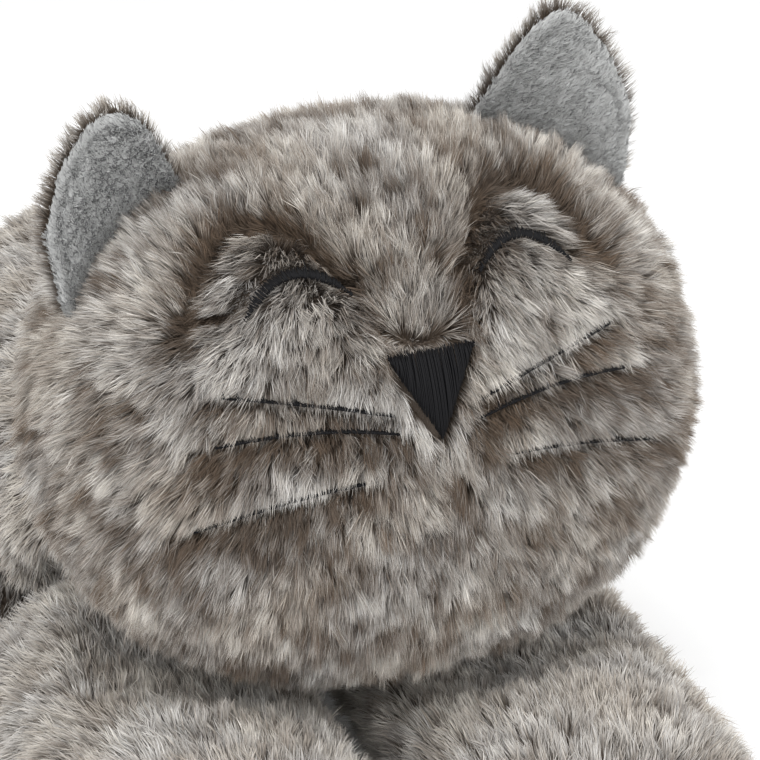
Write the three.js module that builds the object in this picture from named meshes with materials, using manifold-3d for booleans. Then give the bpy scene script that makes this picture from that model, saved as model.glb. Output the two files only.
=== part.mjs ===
// Lying plush cat with its head raised on its forelegs.
// Millimetres, +Z up, the cat faces -Y and its left side is +X. The origin is the middle of the base.
// Every bag is a skin of fur fabric, drawn at the tips of its pile, around a core of fibre filling.
import * as THREE from 'three';
import { mergeVertices } from 'three/addons/utils/BufferGeometryUtils.js';
import Module from 'manifold-3d';

const wasm = await Module();
wasm.setup();

// Fabric and clearances
const SKIN = 10; // backing and pile together
const GAP = 0.4; // between pieces that touch
const MOVING_GAP = 4.5; // between bags that turn against each other
const HEAD_GAP = 5; // around the head's whole range of motion
const SEAM_REACH = 400; // half-size of the boxes that part a skin into its panels

// Head, as a rounded box: |x/a|^p + |y/b|^p + |z/c|^p = 1 in the head's own axes
const HEAD_HALF = new THREE.Vector3(118, 87, 98);
const HEAD_POWER = 2.2;
const HEAD_CENTRE = new THREE.Vector3(0, -143, 172);
const HEAD_PITCH = -9; // looks up
const HEAD_ROLL = -5; // its left side is raised
const HEAD_YAW = 3;

// Neck, where the head turns on the torso
const NECK_CENTRE = new THREE.Vector3(0, -62, 138);
const NECK_PLUG_RADIUS = 34;
const NECK_RING_RADIUS = 40;
const NECK_RING_THICKNESS = 4;
const HEAD_TURNS = [-15, 15];
const HEAD_TILTS = [-8, 20];
const HEAD_NODS = [-10, 0];

// Torso
const TORSO_LENGTH = 342;
const TORSO_FRONT_Y = -98;
const TORSO_HALF_WIDTH = 118;
const TORSO_HALF_HEIGHT = 89;
const BELLY_SEAM_Z = 40;

// Forelegs, side by side under the chin
const FORELEG_HALF_WIDTH = 63;
const FORELEG_HALF_HEIGHT = 45;
const FORELEG_PIVOT = new THREE.Vector3(64.5, -77, 43);
const FORELEG_REACH = 196; // pivot to paw tip
const FORELEG_YAW = -1.5; // both paws lie a little to the cat's right
const FORELEG_SPREADS = [0, 35];

// Hind legs, folded forward along the torso
const HINDLEG_HALF_WIDTH = 58;
const HINDLEG_PIVOT = new THREE.Vector3(90, 150, 56);
const HINDLEG_REACH = 150;
const HINDLEG_SPREADS = [0, 30];

// Tail, curled round the left haunch
const TAIL_RADIUS = 24;
const TAIL_PIVOT = new THREE.Vector3(0, 226.7, 22);

// Ears: each base runs down and outwards over the side of the skull
const EAR_BASE = new THREE.Vector3(81, -12, 66);
const EAR_BASE_DIRECTION = new THREE.Vector3(0.707, -0.164, -0.688);
const EAR_UP_DIRECTION = new THREE.Vector3(0.455, -0.639, 0.62);
const EAR_HALF_WIDTH = 34;
const EAR_HEIGHT = 53;
const EAR_TIP_SHIFT = 32; // how far the tip leans back along the base, towards the crown
const EAR_HALF_THICKNESS = 4.5;
const EAR_LINING_THICKNESS = 2.5;
const EAR_CURL_RADIUS = 46;
const EAR_CLEARANCE = 4;
const EAR_SLIP = -3.5; // both ears are sewn a little round the head, towards the cat's right
// The powers of the ear's outline, and the depth of its root as a share of its half-width.
const EAR_ROUNDING = { tip: 1.7, edge: 0.62, lean: 1.3, root: 0.45 };

// Embroidery, as places on the face: x across, z up, in the head's own axes
const NOSE = { halfWidth: 14.5, topZ: 24, tipZ: -4, depth: 2.5, thickness: 2.5 };
const EYE = { innerX: 21.5, outerX: 55, innerZ: 47, outerZ: 44.5, rise: 9.5, radius: 1.6, depth: 3 };
const WHISKERS = [
  { name: 'upper', innerX: 15, outerX: 66, innerZ: 6, outerZ: 19.5, rise: 1 },
  { name: 'middle', innerX: 14, outerX: 70, innerZ: 0, outerZ: 4, rise: 3 },
  { name: 'lower', innerX: 24, outerX: 79, innerZ: -14, outerZ: -23, rise: 2 },
];
const WHISKER_RADIUS = 0.8;
const WHISKER_DEPTH = 2.2;
const EYE_STEPS = 8;
const WHISKER_STEPS = 5;
const OVERRUN = 0.04; // how far a hollow runs past its stitching at each end, as a share of its length
const NOSE_CORNER_REACH = 1.6; // how much further than its edges the nose's corners move as it grows

// Care label, a folded tape in the side seam of the rump
const LABEL = { width: 18, length: 26, thickness: 1.2, x: -62, y: 221, turn: 18 };

// Finishes
const fur = { color: 0x877f77, roughness: 0.95, metalness: 0 };
const velboa = { color: 0x888988, roughness: 0.9, metalness: 0 };
const thread = { color: 0x141414, roughness: 0.45, metalness: 0 };
const filling = { color: 0xf2f1ec, roughness: 1, metalness: 0 };
const tape = { color: 0xf4f4f2, roughness: 0.6, metalness: 0 };

const UP = new THREE.Vector3(0, 0, 1);
const FACING_Y = new THREE.Matrix4().makeRotationX(-Math.PI / 2);
const radians = THREE.MathUtils.degToRad;

// ---- solids -------------------------------------------------------------------------------------------

function solidOf(geometry) {
  const bare = geometry.clone();
  bare.deleteAttribute('normal');
  bare.deleteAttribute('uv');
  const merged = mergeVertices(bare, 1e-3);
  return new wasm.Manifold(new wasm.Mesh({
    numProp: 3,
    vertProperties: new Float32Array(merged.getAttribute('position').array),
    triVerts: new Uint32Array(merged.getIndex().array),
  }));
}

function geometryOf(solid) {
  const mesh = solid.getMesh();
  const geometry = new THREE.BufferGeometry();
  geometry.setAttribute('position', new THREE.BufferAttribute(mesh.vertProperties, mesh.numProp));
  geometry.setIndex(new THREE.BufferAttribute(mesh.triVerts, 1));
  geometry.computeVertexNormals();
  return geometry;
}

function united(solids) {
  return solids.reduce((whole, solid) => whole.add(solid));
}

// The main body of a cut piece, without any offcut.
function mainBody(solid) {
  const bodies = solid.decompose();
  return bodies.reduce((largest, body) => (body.volume() > largest.volume() ? body : largest));
}

// The part of a solid inside the box from low to high; a missing side reaches past every piece.
function boxed(solid, { low = {}, high = {} }) {
  const from = new THREE.Vector3(low.x ?? -SEAM_REACH, low.y ?? -SEAM_REACH, low.z ?? -SEAM_REACH);
  const to = new THREE.Vector3(high.x ?? SEAM_REACH, high.y ?? SEAM_REACH, high.z ?? SEAM_REACH);
  const size = to.clone().sub(from);
  const box = new THREE.BoxGeometry(size.x, size.y, size.z);
  const middle = from.add(to).multiplyScalar(0.5);
  box.translate(middle.x, middle.y, middle.z);
  return mainBody(solid.intersect(solidOf(box)));
}

// ---- forms --------------------------------------------------------------------------------------------

// A curve of one value along a limb, through evenly spaced control values.
function profile(values) {
  const curve = new THREE.CatmullRomCurve3(values.map((value) => new THREE.Vector3(value, 0, 0)));
  return (along) => curve.getPoint(THREE.MathUtils.clamp(along, 0, 1)).x;
}

// Distances along a limb at which it has a ring of points, and how full its section is there.
function stationsOf({ startCap, endCap, capSteps, middle }, length, inset) {
  const stations = [];
  for (let i = 0; i <= capSteps; i += 1) {
    const angle = (Math.PI / 2) * (i / capSteps);
    const at = inset + (startCap - inset) * (1 - Math.cos(angle));
    stations.push({ at, full: Math.sin(angle) });
  }
  for (let i = 1; i < middle; i += 1) {
    stations.push({ at: startCap + ((length - startCap - endCap) * i) / middle, full: 1 });
  }
  for (let i = capSteps; i >= 0; i -= 1) {
    const angle = (Math.PI / 2) * (i / capSteps);
    const at = length - inset - (endCap - inset) * (1 - Math.cos(angle));
    stations.push({ at, full: Math.sin(angle) });
  }
  return stations;
}

// A stuffed tube with round ends along a spine, flat where it rests on the floor.
function limbForm(limb, inset = 0) {
  const { spine, halfWidth, halfHeight, around, floorZ } = limb;
  const length = spine.getLength();
  const stations = stationsOf(limb, length, inset);
  const rings = stations.length - 1;
  const geometry = new THREE.SphereGeometry(1, around, rings);
  const position = geometry.getAttribute('position');
  const point = new THREE.Vector3();
  for (let i = 0; i < position.count; i += 1) {
    point.fromBufferAttribute(position, i);
    const polar = Math.acos(THREE.MathUtils.clamp(point.y, -1, 1));
    const station = stations[Math.round((polar / Math.PI) * rings)];
    const along = THREE.MathUtils.clamp(station.at / length, 0, 1);
    const tangent = spine.getTangentAt(along);
    const side = new THREE.Vector3().crossVectors(UP, tangent).normalize();
    const over = new THREE.Vector3().crossVectors(tangent, side);
    const round = Math.hypot(point.x, point.z) || 1;
    const across = (halfWidth(along) - inset) * station.full * (point.x / round);
    const above = (halfHeight(along) - inset) * station.full * (point.z / round);
    const place = spine.getPointAt(along).addScaledVector(side, across).addScaledVector(over, above);
    if (station.at < 0) place.addScaledVector(tangent, station.at);
    if (station.at > length) place.addScaledVector(tangent, station.at - length);
    place.z = Math.max(place.z, floorZ + inset);
    position.setXYZ(i, place.x, place.y, place.z);
  }
  return solidOf(geometry);
}

function headForm(inset = 0, around = 20, rings = 12) {
  const geometry = new THREE.SphereGeometry(1, around, rings);
  const position = geometry.getAttribute('position');
  for (let i = 0; i < position.count; i += 1) {
    const point = new THREE.Vector3().fromBufferAttribute(position, i);
    const powers = point.toArray().map((value) => Math.abs(value) ** HEAD_POWER);
    point.multiplyScalar((powers[0] + powers[1] + powers[2]) ** (-1 / HEAD_POWER));
    position.setXYZ(
      i,
      point.x * (HEAD_HALF.x - inset),
      point.y * (HEAD_HALF.y - inset),
      point.z * (HEAD_HALF.z - inset),
    );
  }
  return solidOf(geometry);
}

function ball(centre, radius) {
  const geometry = new THREE.SphereGeometry(radius, 14, 8);
  geometry.translate(centre.x, centre.y, centre.z);
  return solidOf(geometry);
}

// The point of the face at x, z, sunk by depth.
function facePoint(x, z, depth) {
  const rest = 1 - Math.abs(x / HEAD_HALF.x) ** HEAD_POWER - Math.abs(z / HEAD_HALF.z) ** HEAD_POWER;
  return new THREE.Vector3(x, -HEAD_HALF.y * rest ** (1 / HEAD_POWER) + depth, z);
}

// A bead of stitching that follows the face along a shallow arc.
function faceBead(side, line, depth, radius, steps, overrun = 0) {
  const points = [];
  for (let i = 0; i <= steps; i += 1) {
    const t = THREE.MathUtils.lerp(-overrun, 1 + overrun, i / steps);
    const x = THREE.MathUtils.lerp(line.innerX, line.outerX, t);
    const z = THREE.MathUtils.lerp(line.innerZ, line.outerZ, t) + line.rise * (1 - (2 * t - 1) ** 2);
    points.push(facePoint(side * x, z, depth));
  }
  const section = new THREE.Shape().absarc(0, 0, radius, 0, Math.PI * 2);
  return solidOf(new THREE.ExtrudeGeometry(section, {
    extrudePath: new THREE.CatmullRomCurve3(points),
    steps,
    curveSegments: 3,
  }));
}

// The nose's rounded triangle, grown by margin, between two depths under the tip of the face.
function nosePrism(margin, fromDepth, toDepth) {
  const { halfWidth, topZ, tipZ } = NOSE;
  const outline = new THREE.Shape();
  outline.moveTo(-halfWidth - NOSE_CORNER_REACH * margin, topZ + margin);
  outline.lineTo(halfWidth + NOSE_CORNER_REACH * margin, topZ + margin);
  outline.lineTo(0, tipZ - NOSE_CORNER_REACH * margin);
  const geometry = new THREE.ExtrudeGeometry(outline, { depth: toDepth - fromDepth, bevelEnabled: false });
  // The extrusion stands on XZ and grows towards -Y, so it starts at its deeper face.
  geometry.rotateX(Math.PI / 2);
  geometry.translate(0, -HEAD_HALF.y + toDepth, 0);
  return solidOf(geometry);
}

// ---- scene graph ----------------------------------------------------------------------------------------

const cat = new THREE.Group();

function bodyGroup(parent, name, position) {
  const group = new THREE.Group();
  group.name = name;
  group.position.copy(position);
  parent.add(group);
  return group;
}

function addPiece(group, name, solid, finish) {
  const piece = new THREE.Mesh(geometryOf(solid), new THREE.MeshStandardMaterial(finish));
  piece.name = name;
  group.add(piece);
}

function worldMatrix(group) {
  group.updateWorldMatrix(true, false);
  return group.matrixWorld.clone();
}

// A solid given in the cat's axes, as seen in a group's own axes.
function inGroup(solid, group) {
  return solid.transform(worldMatrix(group).invert().toArray());
}

function turnedAbout(centre, rotation) {
  const there = new THREE.Matrix4().makeTranslation(centre);
  const back = new THREE.Matrix4().makeTranslation(centre.clone().negate());
  return there.multiply(rotation).multiply(back);
}

// A bag that gives way to its neighbours: the dents are deeper under the skin than on it.
function bag(form, dents) {
  const pressed = (inset) => (dents ? mainBody(form(inset).subtract(dents(inset))) : form(inset));
  return { skin: pressed(0).subtract(pressed(SKIN)), core: pressed(SKIN + GAP) };
}

// ---- where everything stands ----------------------------------------------------------------------------

const torso = bodyGroup(cat, 'torso', new THREE.Vector3());
const neck = bodyGroup(cat, 'neck', NECK_CENTRE);
const head = bodyGroup(cat, 'head', HEAD_CENTRE);
head.rotation.set(radians(HEAD_PITCH), radians(HEAD_ROLL), radians(HEAD_YAW), 'YXZ');

const SIDES = [
  { name: 'left', sign: 1 },
  { name: 'right', sign: -1 },
];

const torsoLimb = {
  spine: new THREE.CatmullRomCurve3([
    new THREE.Vector3(0, TORSO_FRONT_Y, 88),
    new THREE.Vector3(0, TORSO_FRONT_Y + TORSO_LENGTH / 2, 86),
    new THREE.Vector3(0, TORSO_FRONT_Y + TORSO_LENGTH, 82),
  ]),
  halfWidth: profile([100, 108, TORSO_HALF_WIDTH, TORSO_HALF_WIDTH, 106]),
  halfHeight: profile([84, 84, 87, TORSO_HALF_HEIGHT, 84]),
  startCap: 60,
  endCap: 84,
  capSteps: 3,
  middle: 3,
  around: 18,
  floorZ: 0,
};

function legLimb(points, widths, heights, startCap, endCap) {
  return {
    spine: new THREE.CatmullRomCurve3(points),
    halfWidth: profile(widths),
    halfHeight: profile(heights),
    startCap,
    endCap,
    capSteps: 3,
    middle: 2,
    around: 12,
  };
}

function forelegLimb() {
  const half = FORELEG_HALF_WIDTH;
  return {
    ...legLimb(
      [
        new THREE.Vector3(0, half, 0),
        new THREE.Vector3(0, -FORELEG_REACH / 2, 0),
        new THREE.Vector3(0, -FORELEG_REACH, 0),
      ],
      [half, half, half, half - 2, half - 1],
      [FORELEG_HALF_HEIGHT, FORELEG_HALF_HEIGHT, FORELEG_HALF_HEIGHT, 43, 44],
      half,
      50,
    ),
    floorZ: -FORELEG_PIVOT.z,
  };
}

function hindlegLimb(sign) {
  const half = HINDLEG_HALF_WIDTH;
  return {
    ...legLimb(
      [
        new THREE.Vector3(0, half, 0),
        new THREE.Vector3(0, 0, 0),
        new THREE.Vector3(9 * sign, -78, -14),
        new THREE.Vector3(12 * sign, -HINDLEG_REACH, -24),
      ],
      [half, half, 52, 40, 35],
      [64, 66, 52, 37, 33],
      half,
      34,
    ),
    floorZ: -HINDLEG_PIVOT.z,
  };
}

const tailLimb = {
  spine: new THREE.CatmullRomCurve3([
    new THREE.Vector3(-6, -22, 0),
    new THREE.Vector3(8, 11, 0),
    new THREE.Vector3(46, 23, -1),
    new THREE.Vector3(90, 14, -2),
    new THREE.Vector3(124, -10, -4),
  ]),
  halfWidth: profile([TAIL_RADIUS, TAIL_RADIUS, 23, 21, 18]),
  halfHeight: profile([TAIL_RADIUS, TAIL_RADIUS, 23, 21, 18]),
  startCap: TAIL_RADIUS,
  endCap: 18,
  capSteps: 2,
  middle: 5,
  around: 10,
  floorZ: -TAIL_PIVOT.z,
};

function onSide(vector, sign) {
  return new THREE.Vector3(sign * vector.x, vector.y, vector.z);
}

const forelegs = SIDES.map(({ name, sign }) => {
  const group = bodyGroup(torso, `foreleg_${name}`, onSide(FORELEG_PIVOT, sign));
  group.rotation.z = radians(FORELEG_YAW);
  return { name, sign, group, limb: forelegLimb() };
});

const hindlegs = SIDES.map(({ name, sign }) => {
  const group = bodyGroup(torso, `hindleg_${name}`, onSide(HINDLEG_PIVOT, sign));
  return { name, sign, group, limb: hindlegLimb(sign) };
});

const tail = { sign: 1, group: bodyGroup(torso, 'tail', TAIL_PIVOT), limb: tailLimb };

// What a limb's axes see while the limb is swung out by each of some angles.
function whileSpread({ sign, group }, spreads, look) {
  const rest = group.rotation.z;
  const seen = spreads.map((spread) => {
    group.rotation.z = rest + sign * radians(spread);
    return look();
  });
  group.rotation.z = rest;
  return united(seen);
}

// The room that a limb needs in the torso: its form, grown by margin, without its flat underside.
function limbRoom(part, spreads, margin) {
  const grown = limbForm({ ...part.limb, floorZ: -SEAM_REACH }, -margin);
  return whileSpread(part, spreads, () => grown.transform(worldMatrix(part.group).toArray()));
}

// The room that the head needs: its form, grown by margin, at every end of its three motions.
function headRoom(margin) {
  const rest = worldMatrix(head);
  const grown = headForm(-margin, 14, 8);
  const places = [];
  for (const turn of HEAD_TURNS) {
    for (const tilt of HEAD_TILTS) {
      for (const nod of HEAD_NODS) {
        const rotation = new THREE.Matrix4().makeRotationZ(radians(turn));
        rotation.multiply(new THREE.Matrix4().makeRotationY(radians(tilt)));
        rotation.multiply(new THREE.Matrix4().makeRotationX(radians(nod)));
        places.push(grown.transform(turnedAbout(NECK_CENTRE, rotation).multiply(rest).toArray()));
      }
    }
  }
  return united(places);
}

const neckBallRadius = NECK_RING_RADIUS + NECK_RING_THICKNESS + MOVING_GAP;

// ---- bags ---------------------------------------------------------------------------------------------

function addTorso() {
  const dents = (extra) => united([
    headRoom(HEAD_GAP + extra),
    ball(NECK_CENTRE, neckBallRadius + extra),
    ...forelegs.map((leg) => limbRoom(leg, [0], MOVING_GAP + extra)),
    ...hindlegs.map((leg) => limbRoom(leg, HINDLEG_SPREADS, MOVING_GAP + extra)),
    limbRoom(tail, [0], MOVING_GAP + extra),
  ]);
  const { skin, core } = bag((inset) => limbForm(torsoLimb, inset), dents);
  const above = BELLY_SEAM_Z + GAP / 2;
  addPiece(torso, 'body_side_left', boxed(skin, { low: { x: GAP / 2, z: above } }), fur);
  addPiece(torso, 'body_side_right', boxed(skin, { low: { z: above }, high: { x: -GAP / 2 } }), fur);
  addPiece(torso, 'body_belly', boxed(skin, { high: { z: BELLY_SEAM_Z - GAP / 2 } }), fur);
  addPiece(torso, 'body_stuffing', core, filling);
}

function addLabel() {
  const { width, length, thickness, x, y, turn } = LABEL;
  const geometry = new THREE.BoxGeometry(width, length, thickness);
  geometry.rotateZ(radians(turn));
  geometry.translate(x, y + length / 2, BELLY_SEAM_Z);
  addPiece(torso, 'care_label', solidOf(geometry), tape);
}

function addNeck() {
  addPiece(neck, 'neck_stuffing', ball(new THREE.Vector3(), NECK_PLUG_RADIUS), filling);
  const ring = new THREE.TorusGeometry(NECK_RING_RADIUS, NECK_RING_THICKNESS, 6, 16);
  ring.rotateX(Math.PI / 2);
  addPiece(neck, 'neck_seam_ring', solidOf(ring), fur);
}

function addHead() {
  const neckOpening = (extra) => inGroup(ball(NECK_CENTRE, neckBallRadius + extra), head);
  const { skin, core } = bag((inset) => headForm(inset), neckOpening);
  const recess = faceRecess();
  for (const { name, sign } of SIDES) {
    const own = sign > 0 ? { low: { x: GAP / 2 } } : { high: { x: -GAP / 2 } };
    const frontBox = { low: { ...own.low }, high: { ...own.high, y: -GAP / 2 } };
    const backBox = { low: { ...own.low, y: GAP / 2 }, high: { ...own.high } };
    addPiece(head, `head_face_${name}`, mainBody(boxed(skin, frontBox).subtract(recess)), fur);
    addPiece(head, `head_back_${name}`, boxed(skin, backBox), fur);
  }
  addPiece(head, 'head_stuffing', core, filling);
}

// The hollows in the pile in which the embroidery lies.
function faceRecess() {
  const hollows = [nosePrism(GAP, -SKIN, NOSE.depth + NOSE.thickness + GAP)];
  for (const { sign } of SIDES) {
    hollows.push(faceBead(sign, EYE, EYE.depth - 1, EYE.radius + 1 + 2 * GAP, EYE_STEPS, OVERRUN));
    for (const whisker of WHISKERS) {
      const radius = WHISKER_RADIUS + 1 + 2 * GAP;
      hollows.push(faceBead(sign, whisker, WHISKER_DEPTH - 1, radius, WHISKER_STEPS, OVERRUN));
    }
  }
  return united(hollows);
}

function addEmbroidery() {
  addPiece(head, 'nose_stitching', nosePrism(0, NOSE.depth, NOSE.depth + NOSE.thickness), thread);
  for (const { name, sign } of SIDES) {
    addPiece(head, `eye_${name}_stitching`, faceBead(sign, EYE, EYE.depth, EYE.radius, EYE_STEPS), thread);
    for (const whisker of WHISKERS) {
      const bead = faceBead(sign, whisker, WHISKER_DEPTH, WHISKER_RADIUS, WHISKER_STEPS);
      addPiece(head, `whisker_${name}_${whisker.name}`, bead, thread);
    }
  }
}

// An ear before it is parted: a rounded triangle, thickest in its middle, curled about its height.
function earForm(sign) {
  const geometry = new THREE.SphereGeometry(1, 14, 10);
  const position = geometry.getAttribute('position');
  for (let i = 0; i < position.count; i += 1) {
    const point = new THREE.Vector3().fromBufferAttribute(position, i);
    const height = point.y;
    const round = Math.hypot(point.x, point.z) || 1;
    const full = height > 0 ? (1 - height ** EAR_ROUNDING.tip) ** EAR_ROUNDING.edge : round;
    const lean = -sign * EAR_TIP_SHIFT * Math.max(height, 0) ** EAR_ROUNDING.lean;
    const x = EAR_HALF_WIDTH * full * (point.x / round) + lean;
    const y = -EAR_HALF_THICKNESS * Math.sqrt(full) * (point.z / round);
    const z = height * (height > 0 ? EAR_HEIGHT : EAR_ROUNDING.root * EAR_HALF_WIDTH);
    const angle = x / EAR_CURL_RADIUS;
    const reach = EAR_CURL_RADIUS + y;
    position.setXYZ(i, reach * Math.sin(angle), reach * Math.cos(angle) - EAR_CURL_RADIUS, z);
  }
  return solidOf(geometry);
}

function earCurlCylinder(radius) {
  const geometry = new THREE.CylinderGeometry(radius, radius, 4 * EAR_HEIGHT, 36);
  geometry.applyMatrix4(FACING_Y);
  geometry.translate(0, -EAR_CURL_RADIUS, 0);
  return solidOf(geometry);
}

function addEar({ name, sign }) {
  const slipped = (vector) => vector.applyMatrix4(new THREE.Matrix4().makeRotationY(radians(EAR_SLIP)));
  const ear = bodyGroup(head, `ear_${name}`, slipped(onSide(EAR_BASE, sign)));
  const along = slipped(EAR_BASE_DIRECTION.clone().multiply(new THREE.Vector3(1, sign, sign)));
  const upward = slipped(onSide(EAR_UP_DIRECTION, sign));
  upward.addScaledVector(along.normalize(), -upward.dot(along)).normalize();
  const behind = new THREE.Vector3().crossVectors(upward, along);
  ear.setRotationFromMatrix(new THREE.Matrix4().makeBasis(along, behind, upward));
  const skull = headForm(-EAR_CLEARANCE).transform(worldMatrix(head).toArray());
  const whole = earForm(sign).subtract(inGroup(skull, ear));
  const parting = EAR_CURL_RADIUS - EAR_HALF_THICKNESS + EAR_LINING_THICKNESS;
  const lining = whole.intersect(earCurlCylinder(parting - GAP / 2));
  const back = whole.subtract(earCurlCylinder(parting + GAP / 2));
  addPiece(ear, `ear_${name}_lining`, mainBody(lining), velboa);
  addPiece(ear, `ear_${name}_back`, mainBody(back), fur);
}

// A leg in two panels: the seam runs along both sides at the height of its pivot.
function addLeg(kind, { name, group, limb }, dents) {
  const { skin, core } = bag((inset) => limbForm(limb, inset), dents);
  addPiece(group, `${kind}_${name}_upper`, boxed(skin, { low: { z: GAP / 2 } }), fur);
  addPiece(group, `${kind}_${name}_under`, boxed(skin, { high: { z: -GAP / 2 } }), fur);
  addPiece(group, `${kind}_${name}_stuffing`, core, filling);
}

function addForeleg(leg) {
  // The chin presses into the leg, wherever the leg is spread to.
  const dents = (extra) => {
    const room = headRoom(HEAD_GAP + extra);
    return whileSpread(leg, FORELEG_SPREADS, () => inGroup(room, leg.group));
  };
  addLeg('foreleg', leg, dents);
}

function addTail() {
  const { skin, core } = bag((inset) => limbForm(tail.limb, inset));
  addPiece(tail.group, 'tail_upper', boxed(skin, { low: { z: GAP / 2 } }), fur);
  addPiece(tail.group, 'tail_under', boxed(skin, { high: { z: -GAP / 2 } }), fur);
  addPiece(tail.group, 'tail_stuffing', core, filling);
}

addTorso();
addLabel();
addNeck();
addHead();
addEmbroidery();
SIDES.forEach(addEar);
forelegs.forEach(addForeleg);
hindlegs.forEach((leg) => addLeg('hindleg', leg));
addTail();

export default cat;
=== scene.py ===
"""A lying plush cat in mottled pile fabric, with a stitched sleeping face, on a pale stage."""

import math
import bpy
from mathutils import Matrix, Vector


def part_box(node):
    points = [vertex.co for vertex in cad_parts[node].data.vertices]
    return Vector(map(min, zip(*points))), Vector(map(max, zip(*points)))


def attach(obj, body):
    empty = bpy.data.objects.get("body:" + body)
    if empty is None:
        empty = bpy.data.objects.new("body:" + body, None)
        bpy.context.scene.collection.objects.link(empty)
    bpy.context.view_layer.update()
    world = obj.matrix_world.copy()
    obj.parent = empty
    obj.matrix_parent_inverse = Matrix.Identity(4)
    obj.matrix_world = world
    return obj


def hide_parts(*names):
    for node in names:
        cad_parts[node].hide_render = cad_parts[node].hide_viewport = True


bl_info = {
    "name": "Lying Plush Cat",
    "version": (1, 0, 0),
    "blender": (4, 5, 0),
    "location": "3D View > Sidebar > Plush Cat",
    "description": "Builds the pile fabric, ears, embroidery and stage of a lying plush cat",
    "category": "Add Mesh",
}

import bpy
import numpy as np
from bpy.props import FloatProperty, FloatVectorProperty, PointerProperty
from mathutils import Matrix, Vector, kdtree

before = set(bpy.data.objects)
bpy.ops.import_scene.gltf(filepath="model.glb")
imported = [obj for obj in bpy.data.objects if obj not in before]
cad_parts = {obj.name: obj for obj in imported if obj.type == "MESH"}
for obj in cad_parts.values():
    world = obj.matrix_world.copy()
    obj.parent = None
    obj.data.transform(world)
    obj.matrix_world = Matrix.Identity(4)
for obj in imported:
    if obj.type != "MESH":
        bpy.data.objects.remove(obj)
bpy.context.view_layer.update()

MM = 0.001
SIDES = (("left", 1), ("right", -1))

# ---- sizes of the head in millimetres, in its own axes: +X its left, -Y its face, +Z its crown
HEAD_HALF = np.array([118.0, 87.0, 98.0])
HEAD_POWER = 2.2
HEAD_CENTRE = np.array([0.0, -143.0, 172.0])
HEAD_TURN = np.array(
    Matrix.Rotation(math.radians(-5), 3, "Y")
    @ Matrix.Rotation(math.radians(-9), 3, "X")
    @ Matrix.Rotation(math.radians(3), 3, "Z")
)
SKIN_INSET = 10.0  # the backing cloth lies this far under the tips of the pile
NECK_CENTRE = np.array([0.0, -62.0, 138.0])

# Lines on the face: inner x, z, outer x, z, and how far the middle rises.
EYE_LINE = (21.5, 45.5, 55.0, 42.5, 10.0)
BROW_LINE = (17.0, 43.0, 67.0, 38.0, 25.0)
WHISKER_LINES = {
    "upper": (15.0, 6.0, 66.0, 19.5, 1.0),
    "middle": (14.0, 0.0, 70.0, 4.0, 3.0),
    "lower": (24.0, -14.0, 79.0, -23.0, 2.0),
}
NOSE_HALF_WIDTH, NOSE_TOP, NOSE_TIP = 14.5, 24.0, -4.0

# Soft stripes beside the face lines: strength, height above the line, half-width.
EYE_RELIEF = ((-2.2, 0, 3.0), (2.5, -13, 9.0))
BROW_RELIEF = ((-5.5, 0, 5.0),)
WHISKER_RELIEF = ((-3.4, 0, 4.0),)
# Tone stripes beside the eye lines: paler above each line and over the swelling under it, with
# painted shade in the crease just under the line.
EYE_TONES_AND_SHADE = ((0.34, 6, 3.5), (0.16, -12, 6), (-0.12, -3.5, 2.5))
# Painted shade: a dark brown stripe in the valley along each brow.
BROW_PAINTED_SHADE = ((-0.95, -0.5, 4.8),)
# Beside each whisker line: painted shade in the furrow just under it, and a paler stripe above it.
WHISKER_TONES_AND_SHADE = ((-0.38, -3, 4), (0.22, 7, 4))

# The sides of the nose's bridge: strength, |x|, half-width, z, half-height.
BRIDGE_RELIEF = (-3.5, 15, 6, 34, 12)
# The second is painted shade: darker strands in the creases beside the bridge.
BRIDGE_PAINTED_SHADE = (-0.45, 14, 7, 36, 12)

FOREHEAD_START = 22  # the forehead's pile begins this high, above the cheeks'
NECK_CLEARANCE = 40  # the head grows no pile this near the middle of the neck
BELLY_TOP = 34  # height above the table where the sides of the body begin

EAR_SLIP = -3.5  # both ears are sewn a little round the head, in degrees
EAR_SEAT_REACH, EAR_SEAT_DEPTH = 16.0, 13.0
EAR_BACK_FACING = 0.3  # an ear's cloth that faces back more than this wears the long pile

NOSE_DEPTHS = (4.3, 3.6, 2.9)  # three layers of stitches, each nearer to the tips of the pile
EYE_DEPTH, EYE_ACROSS = 1.0, 2.8
WHISKER_DEPTH, WHISKER_DEPTH_STEP, WHISKER_ACROSS = 3.9, 0.5, 0.85

LABEL_WIDTH, LABEL_LENGTH, LABEL_CURL = 18, 26, 1.2
LABEL_TURN = math.radians(18)

# ---- strands: how far each varies, as a share of its length or in radians
TUFT_SIZE_SPREAD, STRAND_SIZE_SPREAD = 0.13, 0.10
TUFT_LIFT_SPREAD, STRAND_LIFT_SPREAD = 0.14, 0.10
LOWEST_LIFT, HIGHEST_LIFT = 0.12, 1.35
STRAND_ROLL = 0.5
BEND_ALONG, BEND_UP = 0.36, 0.66  # where a curved strand bends
SAG = 0.04
COAT_BROAD, LOW_COAT_BROAD, COAT_TUFT = 1.5, 1.8, 1.15  # the coat's strands against the face's
LOW_COAT_LIFT = math.radians(38)

# ---- the pile's own map: columns of tone, hue inside each, a strand's height upward
TONES = 16
BLADE_MAP_WIDTH = 4 / 1024
BENT_MAP = ((0, 1, 0, 1, 0.5), (0.02, 0.02, 0.5, 0.5, 0.98))
STRAIGHT_MAP = ((0, 1, 0.5), (0.02, 0.02, 0.98))
MOTTLES = ((0.42, 24, 11), (0.42, 9, 12))  # strength, wavelength, seed

COAT_BACKING = ("coat backing", (0.075, 0.057, 0.043), (0.11, 0.085, 0.066))
VELBOA_BACKING = ("velboa backing", (0.26, 0.26, 0.26), (0.34, 0.34, 0.34))

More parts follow.
